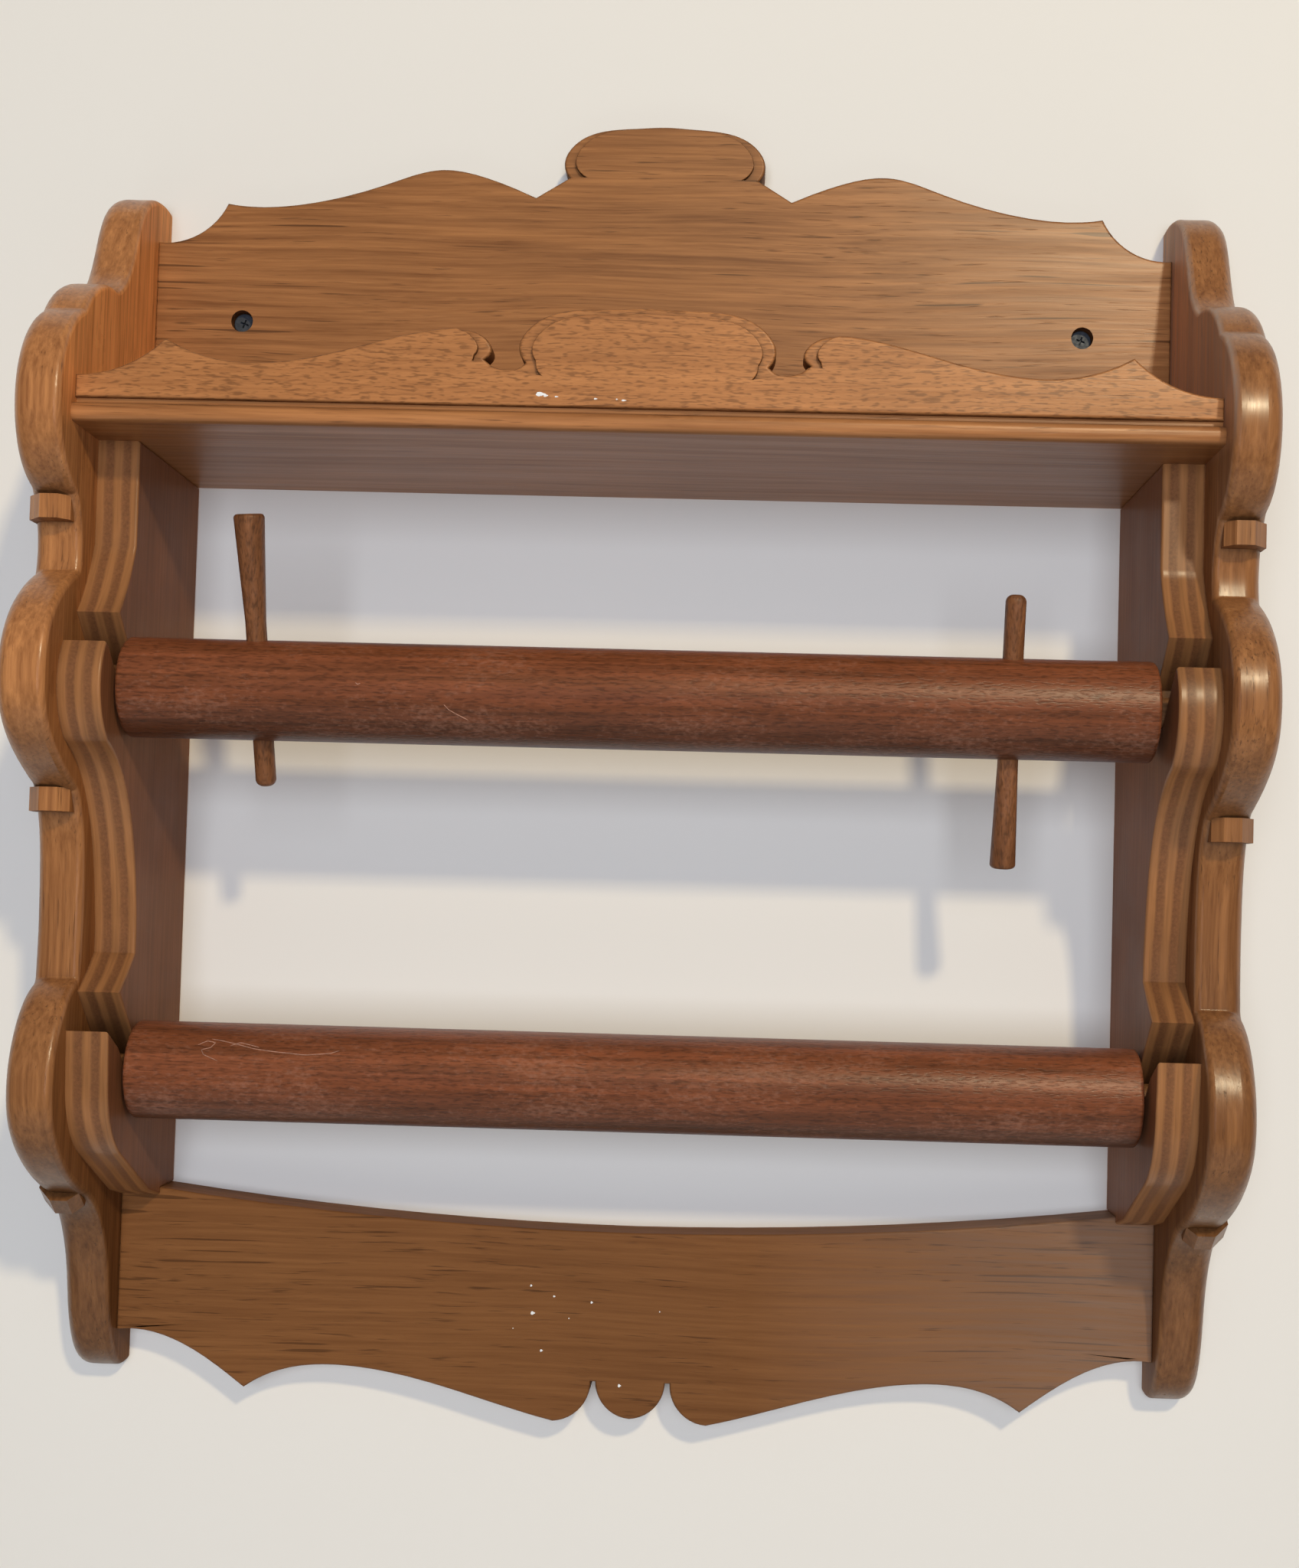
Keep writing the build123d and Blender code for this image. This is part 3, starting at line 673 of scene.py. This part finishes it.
def scroll_plug(node, x_low, x_high, z_low, foot, squeeze, shift, corner):
    """What stands inside a carved border: the board's outline above a notch, drawn in and given a foot."""
    low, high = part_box(node)
    piece, section = board_outline(node, "plug")
    start_editing(piece)
    for place, normal in (((x_low, 0, 0), (-1, 0, 0)), ((x_high, 0, 0), (1, 0, 0)),
                          ((0, 0, z_low), (0, 0, -1))):
        bpy.ops.mesh.select_all(action="SELECT")
        bpy.ops.mesh.bisect(plane_co=place, plane_no=normal, clear_outer=True, threshold=ON_PLANE)
    pick(piece, lambda co: co.z < z_low + FRAME_MERGE)
    bpy.ops.transform.translate(value=(0, 0, foot - z_low))
    bpy.ops.mesh.select_all(action="SELECT")
    bpy.ops.transform.resize(value=(squeeze[0], 1, squeeze[1]), center_override=((x_low + x_high) / 2, 0, foot))
    bpy.ops.transform.translate(value=(shift, 0, 0))
    if corner:
        # The sides are drawn straight as far as the corners reach, then the corners are rounded
        bpy.ops.mesh.bisect(plane_co=(0, 0, foot + 1.05 * corner), plane_no=(0, 0, 1), threshold=ON_PLANE)
        pick(piece, lambda co: foot + FRAME_MERGE < co.z < foot + 1.04 * corner)
        bpy.ops.mesh.dissolve_verts()
        bpy.ops.mesh.select_all(action="SELECT")
        bpy.ops.mesh.dissolve_limited(angle_limit=STRAIGHT)
        pick(piece, lambda co: co.z < foot + FRAME_MERGE)
        bpy.ops.mesh.bevel(offset=corner, segments=6, affect="VERTICES", clamp_overlap=False)
    stop_editing()
    # The face's own edge is worn round, then the plug stands out in front
    rounded_slab(piece, section, low.y + PLUG_DEPTH, low.y, (0, 1, 0), WORN_EDGE)
    start_editing(piece)
    face_towards(piece, (0, -1, 0), -low.y)
    bpy.ops.mesh.extrude_region_move(TRANSFORM_OT_translate={"value": (0, -PLUG_FRONT, 0)})
    stop_editing()
    return piece


def carve(piece, node, cutter, plug):
    """Sink the border round a scroll: what the cutter takes outside the plug, down to a lower rounded board."""
    take_away(cutter, board(node, "floor", size("crest_step")))
    take_away(cutter, plug)
    take_away(piece, cutter)


def up_from_shelf(millimetres):
    """Height in the scene of a place measured up from the shelf's underside."""
    return SHELF_UNDERSIDE + millimetres * MILLIMETRE


class SPICERACK_OT_back_board(bpy.types.Operator):
    """Make the back board, with the border carved round the ends of its crest"""

    bl_idname = "spicerack.back_board"
    bl_label = "Back Board"

    def execute(self, context):
        low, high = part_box("back_board")
        piece = board("back_board", "carved_back_board")
        crest_half = 0.0465
        hook = up_from_shelf(137.5)
        cutter = border_cutter("back_board", -crest_half, crest_half, hook)
        plug = scroll_plug("back_board", -crest_half, crest_half, hook + 0.0006, hook - OVERCUT,
                           (0.885, 0.95), 0, CREST_CORNER)
        carve(piece, "back_board", cutter, plug)
        for x in (-SCREW_SPACING / 2, SCREW_SPACING / 2):
            take_away(piece, rod(x, RECESS_RADIUS, low.y - OVERCUT, low.y + RECESS_DEPTH))
            take_away(piece, rod(x, SCREW_HOLE_RADIUS, low.y, high.y + OVERCUT))
        smooth(piece)
        material = stained_oak("back_board_oak", ALONG_X, (0.3, 0.055, 0.16), 1.05, grain=1.0, cracks=1.0)
        finish_piece(piece, material, "rack", ["back_board"])
        return {"FINISHED"}


class SPICERACK_OT_gallery_rail(bpy.types.Operator):
    """Make the gallery rail, with the border carved round its crest and its two scrolls"""

    bl_idname = "spicerack.gallery_rail"
    bl_label = "Gallery Rail"

    def execute(self, context):
        piece = board("gallery_rail", "carved_gallery_rail")
        # The crest, its border dipping towards the middle at both feet
        border_half, crest_half, dip_half = 0.056, 0.0515, 0.0355
        hook = up_from_shelf(21.1)
        shoulder = up_from_shelf(24.3)
        cutter = border_cutter("gallery_rail", -border_half, border_half, shoulder)
        start_editing(cutter)
        for x in (-dip_half, dip_half):
            bpy.ops.mesh.select_all(action="SELECT")
            bpy.ops.mesh.bisect(plane_co=(x, 0, 0), plane_no=(1, 0, 0), threshold=ON_PLANE)
        pick(cutter, lambda co: abs(co.x) < dip_half + CLOSE and co.z < shoulder + CLOSE)
        bpy.ops.transform.translate(value=(0, 0, hook - shoulder))
        stop_editing()
        plug = scroll_plug("gallery_rail", -crest_half, crest_half, up_from_shelf(28.3), hook - OVERCUT,
                           (0.895, 0.9), 0, CREST_CORNER)
        carve(piece, "gallery_rail", cutter, plug)
        # The two scrolls at the ends of the wings
        for side in (-1, 1):
            near, far = sorted((side * 0.058, side * 0.09))
            cutter = border_cutter("gallery_rail", near, far, up_from_shelf(27.2))
            near, far = sorted((side * 0.058, side * 0.12))
            plug = scroll_plug("gallery_rail", near, far, up_from_shelf(29.0), up_from_shelf(26.5),
                               (1.0, 1.0), side * 0.0052, 0)
            carve(piece, "gallery_rail", cutter, plug)
        smooth(piece)
        material = stained_oak("rail_oak", ALONG_X, (0.7, 0.02, 0.09), 1.42, grain=0.65, flecks=1.0)
        finish_piece(piece, material, "rack", ["gallery_rail"])
        return {"FINISHED"}


class SPICERACK_OT_bottom_board(bpy.types.Operator):
    """Make the bottom board, its scalloped edge softened"""

    bl_idname = "spicerack.bottom_board"
    bl_label = "Bottom Board"

    def execute(self, context):
        piece = board("bottom_board", "scalloped_bottom_board")
        smooth(piece)
        # A painted sheen pales its right end
        material = stained_oak("bottom_board_oak", ALONG_X, (0.1, 0.05, 0.35), 0.62, grain=0.5, edge_tone=1.0,
                               gloss_level=0.25, cracks=0.8, end_painted_sheen=0.25)
        finish_piece(piece, material, "rack", ["bottom_board"])
        return {"FINISHED"}


class SPICERACK_OT_side_panels(bpy.types.Operator):
    """Finish the two carved side panels"""

    bl_idname = "spicerack.side_panels"
    bl_label = "Side Panels"

    def execute(self, context):
        # Each side: heart of the grain, tone, foot tone, gloss of the sides, inward direction, painted
        # underside shade and painted sheen; both get painted light on the inward faces above the shelf
        for side, heart, tone, foot, gloss, inward, underside_shade, painted_sheen in (
                ("left", (0.2, 0.11, 0.27), 1.4, 0.42, 0.12, (1.0, 0.0, 0.0), 0.6, 0.0),
                ("right", (0.5, 0.14, -0.21), 0.93, 0.66, 0.4, (-1.0, 0.0, 0.0), 0.8, 0.6)):
            dress_node(side + "_side_panel", stained_oak(
                side + "_panel_oak", ALONG_Z, heart, tone, grain=0.95, roughness=0.3, edge_tone=1.0,
                edge_gloss=gloss, edge_span=(0.1, 0.5), coat=0.12, foot_tone=foot, head_painted_light=2.1, inward=inward,
                painted_underside_shade=underside_shade, head_painted_sheen=painted_sheen))
        return {"FINISHED"}


class SPICERACK_OT_shelf(bpy.types.Operator):
    """Finish the shelf board"""

    bl_idname = "spicerack.shelf"
    bl_label = "Shelf Board"

    def execute(self, context):
        # Its underside, turned away from the front, is darkened partly by painted shade
        dress_node("shelf_board", stained_oak("shelf_oak", ALONG_X, (0.4, 0.03, 0.12), 1.3, edge_tone=0.65,
                                              edge_gloss=0.42, edge_rough=0.0))
        return {"FINISHED"}


class SPICERACK_OT_brackets(bpy.types.Operator):
    """Make the two plywood brackets that carry the rollers, their edges softened"""

    bl_idname = "spicerack.brackets"
    bl_label = "Roller Brackets"

    def execute(self, context):
        material = varnished_plywood("bracket_plywood")
        for side, sign in (("left", -1), ("right", 1)):
            node = side + "_roller_bracket"
            section = sign * BRACKET_SECTION
            piece = outline_face(node, side + "_slotted_bracket", (section, 0, 0), (1, 0, 0))
            rounded_slab(piece, section, sign * PANEL_FACE, sign * BRACKET_FACE, (1, 0, 0),
                         size("bracket_round"))
            smooth(piece)
            finish_piece(piece, material, "rack", [node])
        return {"FINISHED"}


class SPICERACK_OT_rollers(bpy.types.Operator):
    """Finish the two rollers and the two pegs"""

    bl_idname = "spicerack.rollers"
    bl_label = "Rollers and Pegs"

    def execute(self, context):
        # The rollers' undersides get painted shade
        roller = stained_hardwood("roller_hardwood", ALONG_X, colour("roller"), colour("roller_streak"), 0.36,
                                  scuffs=0.3, painted_underside_shade=0.42)
        peg = stained_hardwood("peg_hardwood", ALONG_Z, colour("peg"), colour("peg_streak"), 0.42, scuffs=0.15)
        for node, material in (("upper_roller", roller), ("lower_roller", roller), ("left_peg", peg),
                               ("right_peg", peg)):
            dress_node(node, material)
        return {"FINISHED"}


class SPICERACK_OT_dowels(bpy.types.Operator):
    """Finish the roller pins and the dowels in the joints"""

    bl_idname = "spicerack.dowels"
    bl_label = "Pins and Dowels"

    def execute(self, context):
        streak = tuple(0.8 * part for part in colour("dowel")[:3]) + (1.0,)
        beech = stained_hardwood("plain_beech", ALONG_X, colour("dowel"), streak, 0.5)
        for node in ("upper_roller_pins", "lower_roller_pins", "shelf_dowels", "back_board_dowels",
                     "bottom_board_dowels", "left_bracket_dowels", "right_bracket_dowels"):
            dress_node(node, beech)
        return {"FINISHED"}


class SPICERACK_OT_screws(bpy.types.Operator):
    """Make the two wall screws, sunk in their recesses"""

    bl_idname = "spicerack.screws"
    bl_label = "Wall Screws"

    def execute(self, context):
        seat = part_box("back_board")[0].y + RECESS_DEPTH
        x = -SCREW_SPACING / 2
        # The head's rim is 0.8 mm thick and 0.8 mm clear of the seat; the cone behind it is sunk in the wood
        rim = 0.0008
        gap = 0.0008
        cone = 0.0019
        shank = 0.0085
        piece = rod(x, size("screw_head") / 2, seat - gap - rim, seat - gap)
        piece.name = "wall_screws"
        start_editing(piece)
        face_towards(piece, (0, 1, 0), seat - gap)
        bpy.ops.mesh.inset(thickness=cone, depth=0.0)
        bpy.ops.transform.translate(value=(0, cone, 0))
        bpy.ops.mesh.extrude_region_move(TRANSFORM_OT_translate={"value": (0, shank, 0)})
        stop_editing()
        # The dish in the head's face, then the cross of the driver recess cut with two tapered bars
        start_editing(piece)
        face_towards(piece, (0, -1, 0), gap + rim - seat)
        bpy.ops.mesh.inset(thickness=0.0004, depth=0.00025)
        stop_editing()
        for turn in (20, 110):
            bpy.ops.mesh.primitive_cube_add(size=1, location=(x, seat - gap - rim / 2, 0))
            bar = context.object
            bar.scale = (0.0046, 0.0026, 0.0009)
            bar.rotation_euler = (0, math.radians(turn), 0)
            bpy.ops.object.transform_apply()
            start_editing(bar)
            pick(bar, lambda face: face.normal.y > 0.9, "FACE")
            bpy.ops.transform.resize(value=(0.45, 1, 0.45), center_override=(x, seat, 0))
            stop_editing()
            take_away(piece, bar)
        # The second screw is a copy
        start_editing(piece)
        bpy.ops.mesh.duplicate_move(TRANSFORM_OT_translate={"value": (SCREW_SPACING, 0, 0)})
        stop_editing()
        smooth(piece, 30)
        finish_piece(piece, blackened_steel("screw_steel"), "rack")
        return {"FINISHED"}


def in_drop(co):
    """Whether a place is in the drop that all specks of paint are copied from."""
    return max(abs(part) for part in co) < 0.002


class SPICERACK_OT_paint_specks(bpy.types.Operator):
    """Make the specks of wall paint dried on the rail and on the bottom board"""

    bl_idname = "spicerack.paint_specks"
    bl_label = "Paint Specks"

    def execute(self, context):
        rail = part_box("gallery_rail")[0].y
        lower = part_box("bottom_board")[0].y
        # One flattened drop, its rim pushed out of round
        bpy.ops.mesh.primitive_uv_sphere_add(segments=20, ring_count=10, radius=0.0005)
        piece = context.object
        piece.name = "paint_specks"
        start_editing(piece)
        bpy.ops.transform.resize(value=(1, 0.16, 1), center_override=(0, 0, 0))
        pick(piece, lambda co: co.x > 0.0002)
        bpy.ops.transform.resize(value=(1.25, 1, 0.6), center_override=(0, 0, 0))
        pick(piece, lambda co: co.x < -0.0001 and co.z < 0)
        bpy.ops.transform.resize(value=(1.15, 1, 1.3), center_override=(0, 0, 0))
        pick(piece, lambda co: co.z > 0.0003)
        bpy.ops.transform.translate(value=(-0.00012, 0, 0.00006))
        # Copies of it, each with its place, width and height in millimetres; then the drop itself goes
        for plane, x, z, width, height in (
                (rail, -40.9, -55.8, 3.4, 1.5), (rail, -38.9, -56.3, 1.6, 1.0), (rail, -34.7, -56.7, 1.3, 0.5),
                (rail, -19.5, -57.2, 1.2, 0.6), (rail, -8.5, -57.6, 1.7, 0.6), (rail, -11.2, -57.2, 0.7, 0.5),
                (lower, -43.7, -417.5, 0.8, 0.8), (lower, -33.6, -421.8, 0.9, 0.7),
                (lower, -17.4, -423.9, 0.9, 0.9), (lower, -42.7, -429.2, 1.7, 1.3),
                (lower, -38.5, -445.1, 1.1, 0.9), (lower, -4.5, -459.0, 1.2, 1.2),
                (lower, -27.0, -431.0, 0.5, 0.5), (lower, -51.0, -436.0, 0.5, 0.4),
                (lower, 12.0, -427.0, 0.5, 0.5)):
            pick(piece, in_drop)
            bpy.ops.mesh.duplicate()
            bpy.ops.transform.resize(value=(width, 1, height), center_override=(0, 0, 0))
            bpy.ops.transform.translate(value=(x * MILLIMETRE, plane, z * MILLIMETRE))
        pick(piece, in_drop)
        bpy.ops.mesh.delete(type="VERT")
        stop_editing()
        smooth(piece, 60)
        finish_piece(piece, dry_paint("dry_wall_paint"), "rack")
        return {"FINISHED"}


def scratch(node, line):
    """A scratch 0.4 mm wide along a line of places and angles on a roller, thinning out at both ends."""
    low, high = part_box(node)
    middle = (low + high) / 2
    # Its middle lies 0.03 mm above the wood
    radius = (high.z - low.z) / 2 + 0.00003
    curve = bpy.data.curves.new(node + "_scratch", "CURVE")
    curve.dimensions = "3D"
    curve.bevel_depth = 0.00019
    curve.bevel_resolution = 1
    curve.use_fill_caps = True
    curve.resolution_u = 8
    # Short steps between two places keep the line on the round
    steps = 5
    places = [[start + (end - start) * (step / steps) for start, end in zip(here, there)]
              for here, there in zip(line, line[1:]) for step in range(steps)] + [line[-1]]
    spline = curve.splines.new("NURBS")
    spline.points.add(len(places) - 1)
    spline.use_endpoint_u = True
    spline.order_u = 4
    for point, (along, angle) in zip(spline.points, places):
        turned = math.radians(angle)
        point.co = (along * MILLIMETRE, middle.y - radius * math.cos(turned),
                    middle.z + radius * math.sin(turned), 1)
    spline.points[0].radius = spline.points[-1].radius = 0.2
    part = bpy.data.objects.new(node + "_scratch", curve)
    bpy.context.scene.collection.objects.link(part)
    return part


class SPICERACK_OT_scratches(bpy.types.Operator):
    """Make the pale scratches on the two rollers"""

    bl_idname = "spicerack.scratches"
    bl_label = "Roller Scratches"

    def execute(self, context):
        # Each scratch is a line on the roller: places along it in millimetres and angles above the front
        scratches = {
            "upper_roller": (
                ((-75.4, -17), (-73.5, -23), (-70.5, -28), (-66.0, -35)),
                ((-110.0, 5), (-109.2, 3), (-108.0, 4))),
            "lower_roller": (
                ((-175.0, 36), (-171.5, 42), (-168.0, 40), (-169.6, 33), (-173.2, 30), (-172.0, 24),
                 (-166.0, 17)),
                ((-170.0, 45), (-165.9, 43), (-160.0, 39), (-152.0, 33), (-143.3, 30), (-131.0, 27),
                 (-121.0, 30), (-117.5, 34)),
                ((-162.0, 36), (-158.0, 41), (-154.0, 38), (-150.0, 35)))}
        scar = worn_scratch("scratched_wood")
        for node, lines in scratches.items():
            parts = [scratch(node, line) for line in lines]
            bpy.ops.object.select_all(action="DESELECT")
            for part in parts:
                part.select_set(True)
            context.view_layer.objects.active = parts[0]
            bpy.ops.object.convert(target="MESH")
            bpy.ops.object.join()
            piece = context.object
            piece.name = node + "_scratches"
            smooth(piece, 60)
            finish_piece(piece, scar, node)
        return {"FINISHED"}


class SPICERACK_OT_stage(bpy.types.Operator):
    """Set up the wall, the floor, the lamps and the camera"""

    bl_idname = "spicerack.stage"
    bl_label = "Stage"

    def execute(self, context):
        # The wall stands just behind the rack, the floor far below it
        for name, material, width, place, turn in (
                ("wall", painted_wall("wall_paint"), 5.0, (0, 0.0004, 0), (math.radians(90), 0, 0)),
                ("floor", pale_floor("floor_paint"), 8.0, (0, 0, -1.6), (0, 0, 0))):
            bpy.ops.mesh.primitive_plane_add(size=width, location=place, rotation=turn)
            sheet = context.object
            sheet.name = name
            sheet.data.materials.append(material)
        # A warm key lamp from above, a broad cool fill, and the light that the wall throws back on the rack;
        # the last two add no gloss of their own
        rack_middle = Vector((0, 0, -0.19))
        for name, watts, width, place, tint, glossy in (
                ("key_lamp", 23.0, 0.15, (0.72, -2.1, 0.97), "FFEFC8", True),
                ("fill_lamp", 42.0, 1.2, (0.0, -2.4, -0.2), "DEEAFF", False),
                ("wall_bounce", 28.0, 4.0, (0.0, 0.7, -0.2), "E9E2D8", False)):
            bpy.ops.object.light_add(type="AREA", location=place)
            lamp = context.object
            lamp.name = name
            lamp.data.energy = watts
            lamp.data.size = width
            lamp.data.color = linear(tint)[:3]
            lamp.visible_camera = False
            lamp.visible_glossy = glossy
            lamp.rotation_euler = (rack_middle - Vector(place)).to_track_quat("-Z", "Y").to_euler()
        # Daylight in the room lights the rack faintly, and what the camera sees past the wall is pale
        world = bpy.data.worlds.new("soft_daylight")
        world.use_nodes = True
        world.node_tree.nodes.clear()
        ray = add_node(world, "LightPath")
        level = add_node(world, "Background", {"Color": linear("C6CCD8"), "Strength": 0.15})
        seen = add_node(world, "Background", {"Color": linear("ECE8E0"), "Strength": 1.0})
        mixed = add_node(world, "MixShader", {0: ray.outputs["Is Camera Ray"], 1: level, 2: seen})
        add_node(world, "OutputWorld", {"Surface": mixed})
        context.scene.world = world
        # The camera stands where the photo's camera did, solved from the rack's straight edges
        bpy.ops.object.camera_add(
            location=(0.04097, -0.81531, -0.255),
            rotation=(math.radians(91.982), math.radians(-1.578), math.radians(1.227)))
        camera = context.object
        camera.name = "photo_camera"
        camera.data.lens = 42.205
        camera.data.shift_x = -0.0312
        camera.data.shift_y = 0.0414
        camera.data.clip_start = 0.01
        context.scene.camera = camera
        context.scene.view_settings.view_transform = "Standard"
        return {"FINISHED"}


OPERATORS = (
    SPICERACK_OT_stage,
    SPICERACK_OT_back_board,
    SPICERACK_OT_gallery_rail,
    SPICERACK_OT_bottom_board,
    SPICERACK_OT_side_panels,
    SPICERACK_OT_shelf,
    SPICERACK_OT_brackets,
    SPICERACK_OT_rollers,
    SPICERACK_OT_dowels,
    SPICERACK_OT_screws,
    SPICERACK_OT_paint_specks,
    SPICERACK_OT_scratches,
)


class SPICERACK_PT_sidebar(bpy.types.Panel):
    """Lists the pieces of the rack"""

    bl_idname = "SPICERACK_PT_sidebar"
    bl_label = "Spice Rack"
    bl_space_type = "VIEW_3D"
    bl_region_type = "UI"
    bl_category = "Spice Rack"

    def draw(self, context):
        for operator in OPERATORS:
            self.layout.operator(operator.bl_idname)
        for group in (context.scene.spice_rack_sizes, context.scene.spice_rack_colours):
            column = self.layout.column()
            for name in group.__annotations__:
                column.prop(group, name)


CLASSES = (SpiceRackSizes, SpiceRackColours, SPICERACK_PT_sidebar) + OPERATORS


def register():
    for item in CLASSES:
        bpy.utils.register_class(item)
    bpy.types.Scene.spice_rack_sizes = PointerProperty(type=SpiceRackSizes)
    bpy.types.Scene.spice_rack_colours = PointerProperty(type=SpiceRackColours)


def unregister():
    del bpy.types.Scene.spice_rack_colours
    del bpy.types.Scene.spice_rack_sizes
    for item in reversed(CLASSES):
        bpy.utils.unregister_class(item)


def main():
    """Make the whole scene."""
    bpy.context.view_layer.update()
    register()
    bpy.ops.spicerack.stage()
    bpy.ops.spicerack.back_board()
    bpy.ops.spicerack.gallery_rail()
    bpy.ops.spicerack.bottom_board()
    bpy.ops.spicerack.side_panels()
    bpy.ops.spicerack.shelf()
    bpy.ops.spicerack.brackets()
    bpy.ops.spicerack.rollers()
    bpy.ops.spicerack.dowels()
    bpy.ops.spicerack.screws()
    bpy.ops.spicerack.paint_specks()
    bpy.ops.spicerack.scratches()


if __name__ == "__main__":
    main()
